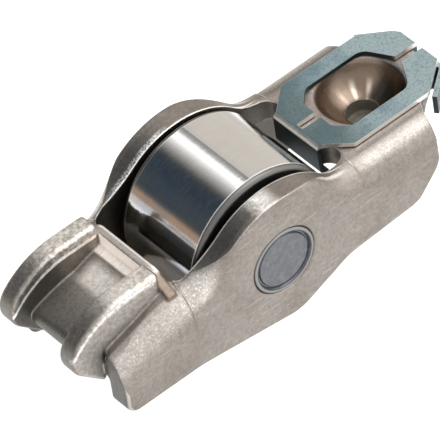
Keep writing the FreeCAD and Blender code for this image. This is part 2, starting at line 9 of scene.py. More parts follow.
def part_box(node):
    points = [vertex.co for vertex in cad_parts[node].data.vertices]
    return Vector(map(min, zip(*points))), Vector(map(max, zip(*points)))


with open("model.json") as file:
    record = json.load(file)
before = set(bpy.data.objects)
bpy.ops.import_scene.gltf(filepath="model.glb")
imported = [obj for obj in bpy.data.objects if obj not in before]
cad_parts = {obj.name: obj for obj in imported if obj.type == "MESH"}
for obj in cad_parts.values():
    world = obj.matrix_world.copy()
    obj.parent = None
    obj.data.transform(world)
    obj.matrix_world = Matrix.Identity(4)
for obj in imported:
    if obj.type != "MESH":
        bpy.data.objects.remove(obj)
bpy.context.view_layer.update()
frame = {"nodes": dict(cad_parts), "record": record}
nodes = frame["nodes"]
mm = 0.001

# the arm's own axes, read from the frame: along, across and up, from the roller's centre
rollerLow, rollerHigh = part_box("roller")
rollerCenter = (rollerLow + rollerHigh) / 2
mounts = {mount["name"]: mount for mount in frame["record"]["mounts"]}
armUp = Vector(mounts["pivot_socket"]["axis"]).normalized()
across = Vector((0, 1, 0))
along = across.cross(armUp)
armTilt = math.atan2(along.z, along.x)
benchHeight = rollerLow.z
needleNames = sorted(name for name in nodes if name.startswith("needle"))
print("frame read, arm tilted", round(math.degrees(armTilt), 2), "degrees")


# a shader socket that takes part in sums as a number does
class Socket:
    def __init__(self, sheet, link):
        self.sheet = sheet
        self.link = link

    def math(self, operation, *others):
        return self.sheet.add("Math", {"operation": operation}, [self, *others])

    def __add__(self, other):
        return self.math("ADD", other)

    def __sub__(self, other):
        return self.math("SUBTRACT", other)

    def __mul__(self, other):
        return self.math("MULTIPLY", other)

    def __truediv__(self, other):
        return self.math("DIVIDE", other)

    def __pow__(self, other):
        return self.math("POWER", other)

    def __rsub__(self, other):
        return self.sheet.add("Math", {"operation": "SUBTRACT"}, [other, self])

    __radd__ = __add__
    __rmul__ = __mul__


# one material and its nodes
class Sheet:
    def __init__(self, name):
        self.material = bpy.data.materials.new(name)
        self.material.use_nodes = True
        self.tree = self.material.node_tree
        self.shader = next(n for n in self.tree.nodes if n.type == "BSDF_PRINCIPLED")

    def add(self, kind, settings=None, inputs=(), output=0):
        node = self.tree.nodes.new("ShaderNode" + kind)
        settings = dict(settings or {})
        stops = settings.pop("stops", None)
        for key, value in settings.items():
            setattr(node, key, value)
        if stops:
            ramp = node.color_ramp
            while len(ramp.elements) < len(stops):
                ramp.elements.new(1.0)
            for element, (place, color) in zip(ramp.elements, stops):
                element.position = place
                element.color = (*color, 1)
        pairs = inputs.items() if isinstance(inputs, dict) else enumerate(inputs)
        for key, value in pairs:
            self.feed(node.inputs[key], value)
        return Socket(self, node.outputs[output])

    def feed(self, target, value):
        if isinstance(value, Socket):
            self.tree.links.new(value.link, target)
        elif target.type == "RGBA":
            target.default_value = (*value, 1)
        else:
            target.default_value = value

    def set(self, **values):
        for key, value in values.items():
            name = "Base Color" if key == "color" else key.capitalize()
            self.feed(self.shader.inputs[name], value)

    def glow(self, color):
        self.feed(self.shader.inputs["Emission Color"], color)
        self.feed(self.shader.inputs["Emission Strength"], 1.0)

    # millimetres along the arm's own axes, from the roller's centre
    def armPlace(self):
        spot = self.add("TexCoord", output="Object")
        turned = {"Location": rollerCenter, "Rotation": (0, -armTilt, 0), "Scale": (mm, mm, mm)}
        return self.add("Mapping", {"vector_type": "TEXTURE"}, {"Vector": spot, **turned})

    def stretch(self, place, scale, turn=(0, 0, 0)):
        inputs = {"Vector": place, "Scale": scale, "Rotation": turn}
        return self.add("Mapping", {"vector_type": "POINT"}, inputs)

    def noise(self, place, scale, detail, roughness):
        inputs = {"Vector": place, "Scale": scale, "Detail": detail, "Roughness": roughness}
        return self.add("TexNoise", None, inputs, "Fac")

    # 0 below low and 1 above high, and the other way round
    def rise(self, value, low, high):
        return self.add("MapRange", {"interpolation_type": "SMOOTHSTEP"}, [value, low, high])

    def fall(self, value, low, high):
        return 1 - self.rise(value, low, high)

    # 1 between low and high, with soft ends
    def band(self, value, low, high, soft):
        return self.rise(value, low - soft, low + soft) * self.fall(value, high - soft, high + soft)

    def share(self, value, floor, gain):
        return value * gain + floor

    def mix(self, factor, first, second, blend="MIX"):
        settings = {"data_type": "RGBA", "blend_type": blend}
        return self.add("Mix", settings, {0: factor, 6: first, 7: second}, 2)

    def split(self, vector):
        return [self.add("SeparateXYZ", None, [vector], axis) for axis in "XYZ"]

    # 1 on sharp edges, 0 on flat and gently curved faces
    def edges(self, radius, samples):
        soft = self.add("Bevel", {"samples": samples}, {"Radius": radius * mm})
        flat = self.add("NewGeometry", output="Normal")
        return 1 - self.add("VectorMath", {"operation": "DOT_PRODUCT"}, [soft, flat], "Value")

    def bump(self, height, distance, strength, under=None):
        inputs = {"Height": height, "Distance": distance * mm, "Strength": strength}
        if under:
            inputs["Normal"] = under
        return self.add("Bump", None, inputs)


# the arm's steel. Each region below has a dictionary of its own: a pair is where a mask begins
# and is full, a third number softens a band, a share is a floor and a gain, and places are in
# millimetres from the roller's centre
armLook = {
    "base": (0.290, 0.262, 0.235),
    # stains, and painted shade at the lower valve end
    "stain": (0.235, 0.208, 0.182),
    # a pale colour for real wear and for painted highlights
    "worn": (0.86, 0.81, 0.76),
    # painted shade for the inner faces
    "inside": (0.095, 0.09, 0.074),
    # painted shade
    "sheared": (0.16, 0.157, 0.148),
    # torn steel and painted highlights
    "fracture": (0.98, 0.96, 0.93),
    "web": (0.40, 0.345, 0.315),
    "shade": (0.10, 0.096, 0.084),
    "grain": (5.0, 3, 0.75),
    "speck": (2.1, 4, 0.7),
    "cloud": (0.20, 2, 0.5),
    "stained": (0.40, 0.70),
    "stainStrength": 0.7,
    "lowEnd": (-18.0, -6.0),
    "lowTop": (-5.0, -1.0),
    "lowStrength": 0.5,
    "outerHalf": (6.2, 7.2),
    "valveEnd": (-9.5, -6.5),
    "nearHalf": (-1, 1),
    "grainTone": 0.9,
    "speckTone": 0.8,
    "roughness": 0.42,
    "grainRoughness": 0.30,
    "grainDepth": 0.035,
    "grainBump": 0.9,
    "speckBump": 0.8,
    "softEdge": 0.45,
    "softSamples": 6,
}


# the masks that several regions of the arm share
def startArm():
    arm = Sheet("armSteel")
    arm.place = arm.armPlace()
    arm.x, arm.y, arm.z = arm.split(arm.place)
    arm.side = arm.y.math("ABSOLUTE")
    facing = arm.add("NewGeometry", output="Normal")
    arm.facingAlong, facingAcross, arm.facingUp = arm.split(facing)
    arm.flankwise = facingAcross.math("ABSOLUTE")
    arm.grain = arm.noise(arm.place, *armLook["grain"])
    arm.speck = arm.noise(arm.place, *armLook["speck"])
    arm.outer = arm.rise(arm.side, *armLook["outerHalf"])
    arm.atValve = arm.fall(arm.x, *armLook["valveEnd"])
    arm.near = arm.fall(arm.y, *armLook["nearHalf"])
    return arm


def paintBase(arm):
    cloud = arm.noise(arm.place, *armLook["cloud"])
    stained = arm.rise(cloud, *armLook["stained"]) * armLook["stainStrength"]
    color = arm.mix(stained, armLook["base"], armLook["stain"])
    # painted shade: darker towards the bottom of the valve end, in the stain colour
    low = arm.fall(arm.x, *armLook["lowEnd"]) * arm.fall(arm.z, *armLook["lowTop"])
    return arm.mix(low * armLook["lowStrength"], color, armLook["stain"])


wallLook = {
    "pivotEnd": (10.5, 12.5),
    "valveStart": (0.34, 0.56),
    "valveStop": (0.84, 0.97),
    "valveFade": (-15.0, -9.0),
    "valveShare": (0.5, 0.5),
    "pivotStart": (0.20, 0.34),
    "pivotStop": (0.60, 0.80),
    "pivotStrength": 0.55,
    "upward": (0.1, 0.3),
    "glitter": (0.50, 0.68),
    "glitterShare": (0.45, 0.55),
    "shadowTurn": (0.22, 0.32),
    "shadowSide": (5.6, 6.2),
    "shadowEnd": (10.5, 12.0),
    "shadowShare": (0.4, 0.6),
    "scratchStretch": (0.25, 1.0, 7.0),
    "scratchTurn": (0, 0.6, 0),
    "scratchNoise": (1.0, 3, 0.6),
    "scratched": (0.60, 0.72),
    "flat": (0.9, 0.98),
    "scratchStrength": 0.22,
}


# painted glittering highlights on the rounded top of both walls, painted shadow beside the web at
# the pivot end, and fine scratches on their flat outside
def paintWalls(arm, color):
    look = wallLook
    turned = arm.flankwise
    valve = arm.rise(turned, *look["valveStart"]) * arm.fall(turned, *look["valveStop"])
    fade = arm.share(arm.rise(arm.x, *look["valveFade"]), *look["valveShare"])
    valve = valve * arm.atValve * fade
    pivot = arm.rise(turned, *look["pivotStart"]) * arm.fall(turned, *look["pivotStop"])
    pivot = pivot * arm.rise(arm.x, *look["pivotEnd"]) * look["pivotStrength"]
    shoulder = (valve + pivot) * arm.rise(arm.facingUp, *look["upward"]) * arm.outer
    glitter = arm.share(arm.rise(arm.grain, *look["glitter"]), *look["glitterShare"])
    color = arm.mix(shoulder * glitter, color, armLook["worn"])
    shadow = arm.fall(turned, *look["shadowTurn"]) * arm.rise(arm.side, *look["shadowSide"])
    shadow = shadow * arm.rise(arm.x, *look["shadowEnd"])
    shadow = shadow * arm.share(arm.speck, *look["shadowShare"])
    color = arm.mix(shadow, color, armLook["sheared"])
    lines = arm.stretch(arm.place, look["scratchStretch"], look["scratchTurn"])
    scratch = arm.rise(arm.noise(lines, *look["scratchNoise"]), *look["scratched"])
    scratch = scratch * arm.rise(turned, *look["flat"]) * arm.outer
    return arm.mix(scratch * look["scratchStrength"], color, armLook["worn"])


padLook = {
    "length": (-22.0, -12.6, 0.4),
    "halfWidth": (3.3, 3.55),
    "upward": (0.5, 0.8),
    "rubbedLength": (-16.2, -13.9, 0.7),
    "rubbedWidth": (-1.6, 3.6, 0.8),
    "rubbedWander": 2,
    "rubbedShare": (0.55, 0.6),
    "rubbedMetalLoss": 0.4,
    "dimEnd": (-17.0, -15.6),
    "dimStrength": 0.35,
}


# the pad: rubbed by the valve stem behind, its rubbed patch also a painted highlight, with painted
# shade in front
def paintPad(arm, color):
    look = padLook
    pad = arm.band(arm.x, *look["length"]) * arm.fall(arm.side, *look["halfWidth"])
    pad = pad * arm.rise(arm.facingUp, *look["upward"])
    wander = arm.y + arm.speck * look["rubbedWander"]
    arm.rubbed = pad * arm.band(arm.x, *look["rubbedLength"])
    arm.rubbed = arm.rubbed * arm.band(wander, *look["rubbedWidth"])
    dim = pad * arm.fall(arm.x + arm.speck, *look["dimEnd"])
    color = arm.mix(dim * look["dimStrength"], color, armLook["sheared"])
    worn = arm.rubbed * arm.share(arm.speck, *look["rubbedShare"])
    return arm.mix(worn, color, armLook["worn"])


railLook = {
    "archTop": 16.35,
    "archRadius": 9.0,
    "height": 5.5,
    "start": (-12.2, -12.0),
    "width": (3.35, 5.85, 0.08),
    "upward": (0.30, 0.6),
    "topDepth": (0.5, 0.7),
    "litEnd": (-20.2, -17.8),
    "litShare": (0.25, 0.75),
    "torn": (0.35, 0.62),
    "tornShare": (0.25, 0.45),
    "nearFade": (-18.5, -16.5),
    "nearDim": 0.55,
    "nearBright": (-18.0, -15.6, 0.8),
    "nearBrightStrength": 0.35,
    "upright": (0.7, 0.9),
    "innerSide": (3.6, 3.8),
    "innerFade": (-18.5, -14.5),
    "innerShare": (0.12, 0.75),
    "farDrop": 0.4,
    "lipTurn": (0.5, 0.8),
    "lipDepth": (0.95, 1.05),
    "rolledDepth": (0.55, 0.65),
    "lipShare": (0.2, 0.5),
    "rolledShare": (0.2, 0.8),
    "rolledAcross": (-6.5, 3.0),
    "outerSide": (5.2, 5.5),
    "outerStrength": 0.5,
    "ridgeDepth": (0.38, 0.72, 0.10),
    "ridgeSide": (5.0, 5.3),
    "ridgeTorn": (0.25, 0.60),
}


# the rails: torn tops with wear and painted highlights, painted shade on the near front, painted
# highlights on the rolled edge and ridge, and painted shade on the inner sides
def paintRails(arm, color):
    look = railLook
    arm.ahead = arm.fall(arm.x, *look["start"])
    arm.rails = arm.ahead * arm.band(arm.side, *look["width"])
    drop = (arm.x + look["archTop"]).math("MINIMUM", 0.0)
    top = (look["archRadius"] ** 2 - drop * drop) ** 0.5 + (look["height"] - look["archRadius"])
    arm.below = top - arm.z
    torn = arm.rise(arm.speck, *look["torn"])
    lit = arm.share(arm.rise(arm.x, *look["litEnd"]), *look["litShare"])
    upper = arm.rails * arm.rise(arm.facingUp, *look["upward"])
    upper = upper * arm.fall(arm.below, *look["topDepth"])
    dimmed = 1 - arm.near * arm.fall(arm.x, *look["nearFade"]) * look["nearDim"]
    worn = upper * lit * arm.share(torn, *look["tornShare"]) * dimmed
    color = arm.mix(worn, color, armLook["worn"])
    bright = upper * arm.near * arm.band(arm.x, *look["nearBright"])
    color = arm.mix(bright * look["nearBrightStrength"], color, armLook["worn"])

    upright = arm.rails * arm.rise(arm.flankwise, *look["upright"])
    inner = upright * arm.fall(arm.side, *look["innerSide"])
    inner = inner * arm.share(arm.fall(arm.x, *look["innerFade"]), *look["innerShare"])
    color = arm.mix(inner, color, armLook["shade"])

    far = arm.rise(arm.y, *armLook["nearHalf"])
    depth = arm.below - far * look["farDrop"]
    lip = arm.rails * arm.rise(arm.flankwise, *look["lipTurn"])
    lip = lip * arm.fall(depth, *look["lipDepth"])
    worn = lip * lit * arm.share(torn, *look["lipShare"])
    color = arm.mix(worn, color, armLook["worn"])
    arm.rolled = lip * arm.rise(depth, *look["rolledDepth"])
    seen = arm.share(arm.speck, *look["rolledShare"]) * arm.rise(arm.y, *look["rolledAcross"])
    color = arm.mix(arm.rolled * seen, color, armLook["fracture"])

    outward = upright * arm.rise(arm.side, *look["outerSide"])
    color = arm.mix(outward * arm.speck * look["outerStrength"], color, armLook["worn"])
    ridge = arm.rails * arm.near * arm.band(arm.below, *look["ridgeDepth"])
    ridge = ridge * arm.rise(arm.side, *look["ridgeSide"])
    return arm.mix(ridge * arm.rise(arm.speck, *look["ridgeTorn"]), color, armLook["fracture"])


frontLook = {
    "forward": (-0.9, -0.6),
    "end": (-18.5, -17.5),
    "railShare": 0.4,
    "frontStrength": 0.95,
    "borderTurn": (-0.82, -0.30, 0.10),
    "borderUpward": (0.3, 0.5),
    "borderStrength": 0.35,
    "toeStrength": 0.35,
}


# painted shade on the fronts of rails and toes, with a painted highlight on the toes' border
def paintFronts(arm, color):
    look = frontLook
    front = arm.fall(arm.facingAlong, *look["forward"]) * arm.fall(arm.x, *look["end"])
    arm.front = front * (1 - arm.rails * look["railShare"])
    color = arm.mix(arm.front * look["frontStrength"], color, armLook["sheared"])
    border = arm.outer * arm.atValve * arm.band(arm.facingAlong, *look["borderTurn"])
    border = border * arm.fall(arm.facingUp, *look["borderUpward"])
    color = arm.mix(border * look["borderStrength"], color, armLook["worn"])
    return arm.mix(arm.front * arm.outer * look["toeStrength"], color, armLook["shade"])


rimLook = {
    "face": (0.93, 0.84, 0.77),
    "end": (0.23, 0.18, 0.145),
    "length": (-12.7, -11.3, 0.1),
    "foot": (2.2, 2.6),
    "halfWidth": (6.8, 7.0),
    "forward": (-0.9, -0.5),
    "slopeLength": (-13.3, -12.3, 0.15),
    "slopeFoot": (1.0, 1.3),
    "slopeStrength": 0.8,
    "faceHalfWidth": (3.2, 3.5),
    "faceTop": (4.35, 4.45),
    "topStrength": 0.25,
    "lineStart": (-11.78, -11.62),
    "lineFoot": (4.1, 4.3),
    "lineUpward": (-0.2, 0.2),
    "lineStrength": 0.8,
    "endStart": (4.2, 4.8),
    "backLength": (-11.8, -10.8, 0.2),
    "backTurn": (0.2, 0.6),
    "backStrength": 0.4,
    "metalLoss": 0.85,
    "glow": 0.27,
}


# the turned-up edge between pad and window: its face is a painted highlight with a little glow, its
# top and edge line get painted highlights, and its ends are darker
def paintRim(arm, color):
    look = rimLook
    rim = arm.band(arm.x, *look["length"]) * arm.rise(arm.z, *look["foot"])
    rim = rim * arm.fall(arm.side, *look["halfWidth"])
    face = rim * arm.fall(arm.facingAlong, *look["forward"])
    slope = arm.band(arm.x, *look["slopeLength"]) * arm.rise(arm.z, *look["slopeFoot"])
    face = (face + slope * look["slopeStrength"]).math("MINIMUM", 1.0)
    arm.rimFace = face * arm.fall(arm.side, *look["faceHalfWidth"])
    arm.rimFace = arm.rimFace * arm.fall(arm.z, *look["faceTop"])
    color = arm.mix(arm.rimFace, color, look["face"])
    color = arm.mix(rim * (1 - arm.rimFace) * look["topStrength"], color, armLook["worn"])
    line = rim * arm.rise(arm.x, *look["lineStart"]) * arm.rise(arm.z, *look["lineFoot"])
    arm.rimLine = line * arm.rise(arm.facingUp, *look["lineUpward"])
    arm.rimEnd = rim * arm.rise(arm.side, *look["endStart"])
    return arm.mix(arm.rimEnd, color, look["end"])


insideLook = {
    "webLength": (8.5, 26.0, 0.8),
    "webFoot": (3.0, 3.8),
    "webHalfWidth": (5.2, 6.4),
    "webShare": (0.5, 0.6),
    "innerTurn": (0.4, 0.8),
    "innerHalf": (6.4, 6.6),
    "innerStart": (-12.3, -11.9),
    "innerStrength": 0.85,
    "underLength": (-13.2, -10.8, 0.2),
    "underTop": (0.0, 0.5),
    "underStrength": 0.9,
    "trenchEnd": (-12.6, -12.2),
    "trenchSide": (5.75, 6.35, 0.10),
    "trenchStrength": 0.7,
    "most": 0.95,
}


# the web under the clip is paler; the inner faces of the walls, the back and underside of the rim
# and the trench beside the rails get painted shade
def paintInside(arm, color):
    look = insideLook
    web = arm.band(arm.x, *look["webLength"]) * arm.rise(arm.z, *look["webFoot"])
    web = web * arm.fall(arm.side, *look["webHalfWidth"])
    color = arm.mix(web * arm.share(arm.speck, *look["webShare"]), color, armLook["web"])
    within = arm.fall(arm.side, *look["innerHalf"])
    deep = arm.rise(arm.flankwise, *look["innerTurn"]) * within
    deep = deep * arm.rise(arm.x, *look["innerStart"])
    arm.rimBack = arm.band(arm.x, *rimLook["backLength"]) * within
    arm.rimBack = arm.rimBack * arm.rise(arm.facingAlong, *rimLook["backTurn"])
    under = arm.band(arm.x, *look["underLength"]) * within
    under = under * arm.fall(arm.z, *look["underTop"])
    trench = arm.fall(arm.x, *look["trenchEnd"]) * arm.band(arm.side, *look["trenchSide"])
    buried = deep * look["innerStrength"] + arm.rimBack * rimLook["backStrength"]
    buried = buried + under * look["underStrength"] + trench * look["trenchStrength"]
    return arm.mix(buried.math("MINIMUM", look["most"]), color, armLook["inside"])


crestLook = {
    "width": (6.25, 8.0, 0.08),
    "length": (-11.0, 9.5, 0.6),
    "foot": (3.2, 4.6),
    "plainTurn": (0.55, 0.75),
    "dullEnd": (-3.5, 0.5),
    "dullStrength": 0.9,
    "farHalf": (0, 1),
    "farStrength": 0.35,
    "plainShare": (0.55, 0.4),
    "tornLength": (-8.2, -1.5, 1.2),
    "tornSide": (6.75, 7.05),
    "tornGrain": (0.40, 0.55),
    "innerSide": (6.38, 6.46),
    "innerStrength": 0.8,
    "lineTurn": (0.20, 0.42, 0.08),
    "lineSide": (6.7, 7.0),
    "lineStrength": 0.6,
    "patchWidth": (6.35, 8.60, 0.10),
    "patchLength": (-1.4, 0.7, 0.9),
    "patchShare": (0.1, 0.9),
    "patchGlow": 0.4,
}


# the crest of the humps: painted shade on the smooth outside, torn inside with painted glints,
# painted highlights on the edges and a painted highlight patch on top
def paintCrests(arm, color):
    look = crestLook
    raised = arm.rise(arm.z, *look["foot"])
    crest = arm.band(arm.side, *look["width"]) * arm.band(arm.x, *look["length"]) * raised
    plain = crest * arm.fall(arm.flankwise, *look["plainTurn"])
    farHalf = arm.rise(arm.y, *look["farHalf"])
    dulled = 1 - arm.rise(arm.x, *look["dullEnd"]) * look["dullStrength"]
    dulled = dulled * (1 - farHalf * look["farStrength"])
    sheared = plain * dulled * arm.share(arm.speck, *look["plainShare"])
    color = arm.mix(sheared, color, armLook["sheared"])
    torn = plain * arm.band(arm.x, *look["tornLength"]) * arm.fall(arm.side, *look["tornSide"])
    torn = torn * farHalf * arm.rise(arm.grain, *look["tornGrain"])
    color = arm.mix(torn, color, armLook["fracture"])
    arm.crestEdge = plain * arm.fall(arm.side, *look["innerSide"])
    arm.crestLine = crest * arm.band(arm.flankwise, *look["lineTurn"])
    arm.crestLine = arm.crestLine * arm.rise(arm.side, *look["lineSide"])
    patch = arm.near * arm.band(arm.side, *look["patchWidth"])
    arm.patch = patch * arm.band(arm.x + arm.speck, *look["patchLength"]) * raised
    bright = arm.patch * arm.share(arm.speck, *look["patchShare"])
    return arm.mix(bright, color, armLook["fracture"])


socketLook = {
    "place": (17.5, 5.3),
    "bronze": (0.205, 0.155, 0.118),
    # painted highlight streaks
    "streak": (0.98, 0.85, 0.72),
    "pocket": (0.165, 0.155, 0.12),
    "radius": (4.68, 4.78),
    "pocketRadius": (1.75, 1.82),
    "pocketTop": (-4.36, -4.28),
    "paleStart": (-2.6, 0.4),
    "paleStrength": 0.5,
    "streaks": ((6.8, 10, 0.9), (35.7, 9, 3.2), (67.8, 9, 3.2), (98.8, 10, 0.8)),
    "streakHeight": (-4.1, -3.4, 0.7),
    "roughness": 0.26,
    "plainness": 0.8,
    "pocketMetalLoss": 0.8,
}


# the ball seat, turned bright, with its oil pocket and painted highlight streaks; each streak has
# its turn, width and strength
def paintSocket(arm, color):
    look = socketLook
    ballX, ballZ = arm.x - look["place"][0], arm.z - look["place"][1]
    level = ballX * ballX + arm.y * arm.y
    arm.seat = arm.fall((level + ballZ * ballZ) ** 0.5, *look["radius"])
    hole = arm.fall(level ** 0.5, *look["pocketRadius"])
    arm.hole = hole * arm.fall(ballZ, *look["pocketTop"])
    pale = arm.rise(ballZ, *look["paleStart"]) * look["paleStrength"]
    seatColor = arm.mix(pale, look["bronze"], armLook["web"])
    turn = arm.y.math("ARCTAN2", ballX) * (180 / math.pi)
    height = arm.band(ballZ, *look["streakHeight"])
    for degrees, width, strength in look["streaks"]:
        streak = arm.band(turn, degrees, degrees, width) * height
        seatColor = arm.mix(streak * strength, seatColor, look["streak"])
    color = arm.mix(arm.seat, color, seatColor)
    return arm.mix(arm.hole, color, look["pocket"])


edgeLook = {
    # painted highlight on the burrs
    "burr": (0.98, 0.96, 0.92),
    "radius": 0.14,
    "samples": 8,
    "sharp": (0.05, 0.18),
    "patchy": 0.4,
    "humpLength": (-10.5, 9.0, 0.5),
    "humpFoot": (2.8, 3.8),
    "railWidth": (3.8, 6.0, 0.1),
    "railDepth": (1.1, 1.3),
    "outside": (6.9, 7.1),
    "strength": 0.9,
    "gloss": 0.12,
    "upward": (-0.1, 0.3),
    "glow": 0.34,
    "rolledGlow": 0.5,
}


# painted highlights on the burrs along the sharp edges, apart from grooves and the smooth outside
def paintEdges(arm, color):
    look = edgeLook
    sharp = arm.rise(arm.edges(look["radius"], look["samples"]), *look["sharp"])
    edge = sharp * (1 - arm.hole) * (look["patchy"] + arm.speck)
    hump = arm.band(arm.x, *look["humpLength"]) * arm.rise(arm.z, *look["humpFoot"])
    ledge = arm.band(arm.side, *look["railWidth"]) * arm.fall(arm.below, *look["railDepth"])
    groove = arm.ahead * (1 - arm.front) * (1 - ledge)
    outside = arm.rise(arm.side, *look["outside"]) * (1 - arm.front) * (1 - hump)
    edge = edge * (1 - groove) * (1 - arm.rimBack) * (1 - arm.rimEnd) * (1 - outside)
    edge = edge + arm.crestEdge * crestLook["innerStrength"]
    edge = edge + arm.crestLine * crestLook["lineStrength"]
    edge = edge + arm.rimLine * rimLook["lineStrength"]
    arm.edge = edge.math("MINIMUM", 1.0)
    return arm.mix(arm.edge * look["strength"], color, look["burr"])


def armSteel():
    arm = startArm()
    color = paintBase(arm)
    for paint in (paintWalls, paintPad, paintRails, paintFronts, paintRim, paintInside,
                  paintCrests, paintSocket, paintEdges):
        color = paint(arm, color)
    tone = 1 + (arm.grain - 0.5) * armLook["grainTone"]
    tone = tone + (arm.speck - 0.5) * armLook["speckTone"]
    toned = arm.mix(1.0, color, tone, "MULTIPLY")
    color = arm.mix(1 - arm.seat * socketLook["plainness"], color, toned)

    roughness = armLook["roughness"] + (arm.grain - 0.5) * armLook["grainRoughness"]
    roughness = roughness - arm.edge * edgeLook["gloss"]
    roughness = roughness + (socketLook["roughness"] - roughness) * arm.seat
    metallic = 1.0 - arm.hole * socketLook["pocketMetalLoss"] - arm.rimFace * rimLook["metalLoss"]
    metallic = metallic - arm.rubbed * padLook["rubbedMetalLoss"]
    radius = armLook["softEdge"] * mm
    soft = arm.add("Bevel", {"samples": armLook["softSamples"]}, {"Radius": radius})
    height = arm.grain * (1 - arm.seat) + arm.speck * armLook["speckBump"]
    normal = arm.bump(height, armLook["grainDepth"], armLook["grainBump"], soft)
    arm.set(color=color, metallic=metallic, roughness=roughness, normal=normal)

    # painted light: a little glow on the edge highlights, the rim face, the crest patch and the
    # rolled rail edges
    shine = arm.edge * arm.rise(arm.facingUp, *edgeLook["upward"]) * edgeLook["glow"]
    shine = shine + arm.rimFace * rimLook["glow"] + arm.patch * arm.speck * crestLook["patchGlow"]
    farHalf = arm.rise(arm.y, *crestLook["farHalf"])
    shine = shine + arm.rolled * farHalf * arm.speck * edgeLook["rolledGlow"]
    arm.glow(arm.mix(shine, (0, 0, 0), rimLook["face"]))
    return arm.material


axleLook = {
    "disc": (0.140, 0.144, 0.156),
    "patch": (0.185, 0.190, 0.203),
    "ring": (0.27, 0.27, 0.265),
    "gap": (0.06, 0.06, 0.06),
    "patches": (1.3, 4, 0.7),
    "grain": (7.0, 3, 0.7),
    "patched": (0.38, 0.66),
    "ringRadii": (3.36, 3.62, 0.04),
    "gapRadii": (3.26, 3.33, 0.03),
    "outside": (3.62, 3.68),
    "toneShare": (0.8, 0.4),
    "roughness": 0.42,
    "patchRoughness": 0.2,
    "depth": 0.015,
    "bump": 0.6,
}


def axleSteel():
    look = axleLook
    axle = Sheet("axleSteel")
    place = axle.armPlace()
    x, _, z = axle.split(place)
    patches = axle.noise(place, *look["patches"])
    grain = axle.noise(place, *look["grain"])
    reach = (x * x + z * z) ** 0.5
    color = axle.mix(axle.rise(patches, *look["patched"]), look["disc"], look["patch"])
    color = axle.mix(axle.band(reach, *look["ringRadii"]), color, look["ring"])
    # painted shade in the groove, and a dark joint round the outer edge
    gap = axle.band(reach, *look["gapRadii"]) + axle.rise(reach, *look["outside"])
    color = axle.mix(gap, color, look["gap"])
    color = axle.mix(1.0, color, axle.share(grain, *look["toneShare"]), "MULTIPLY")
    roughness = look["roughness"] + (patches - 0.5) * look["patchRoughness"]
    normal = axle.bump(grain + patches, look["depth"], look["bump"])
    axle.set(color=color, metallic=1.0, roughness=roughness, normal=normal)
    return axle.material


rollerLook = {
    "face": (0.665, 0.655, 0.64),
    "blue": (0.54, 0.59, 0.68),
    # painted shade on the side faces
    "flank": (0.15, 0.146, 0.14),
    # painted highlight line round the near edge
    "rim": (0.85, 0.85, 0.83),
    "brush": (1.0, 4, 0.6),
    "brushStretch": (0.8, 4.0, 0.8),
    "rings": (1.0, 4, 0.65),
    "ringStretch": (0.2, 9.0, 0.2),
    "patches": (0.55, 4, 0.6),
    "flankSide": (4.95, 5.02),
    "rimSide": (4.86, 5.00, 0.03),
    "farHalf": (-1, 1),
    "farRimFade": 0.8,
    "blued": (0.42, 0.66),
    "bluedEnd": (-5.5, -3.0),
    "brushed": (0.30, 0.60),
    "brushedLength": (-4.9, -3.0, 0.7),
    "brushedFoot": (0, 3),
    "brushedStrength": 0.35,
    "toneFloor": 0.88,
    "toneGain": 0.12,
    "roughness": 0.085,
    "ringRoughness": 0.10,
    "flankRoughness": 0.28,
    "brushDepth": 0.009,
    "brushBump": 0.8,
    "rimMetalLoss": 0.5,
}


def rollerSteel():
    look = rollerLook
    roller = Sheet("rollerSteel")
    place = roller.armPlace()
    x, y, z = roller.split(place)
    side = y.math("ABSOLUTE")
    brush = roller.noise(roller.stretch(place, look["brushStretch"]), *look["brush"])
    rings = roller.noise(roller.stretch(place, look["ringStretch"]), *look["rings"])
    patches = roller.noise(place, *look["patches"])
    # painted shade on the side faces in the gap, a thin painted highlight round the near edge, and
    # dark streaks painted where the reflected band ends
    flank = roller.rise(side, *look["flankSide"])
    rimLeft = 1 - roller.rise(y, *look["farHalf"]) * look["farRimFade"]
    rim = roller.band(side, *look["rimSide"]) * rimLeft
    blued = roller.rise(patches, *look["blued"]) * roller.fall(x, *look["bluedEnd"])
    color = roller.mix(blued, look["face"], look["blue"])
    brushed = roller.rise(brush, *look["brushed"]) * roller.band(x, *look["brushedLength"])
    brushed = brushed * roller.rise(z, *look["brushedFoot"])
    color = roller.mix(brushed * look["brushedStrength"], color, look["flank"])
    tone = look["toneFloor"] + rings * look["toneGain"] + patches * look["toneGain"]
    color = roller.mix(1.0, color, tone, "MULTIPLY")
    color = roller.mix(rim, roller.mix(flank, color, look["flank"]), look["rim"])
    roughness = look["roughness"] + (rings - 0.5) * look["ringRoughness"]
    roughness = roughness + flank * look["flankRoughness"]
    normal = roller.bump(brush * (1 - flank), look["brushDepth"], look["brushBump"])
    metallic = 1.0 - rim * look["rimMetalLoss"]
    roller.set(color=color, metallic=metallic, roughness=roughness, normal=normal)
    return roller.material


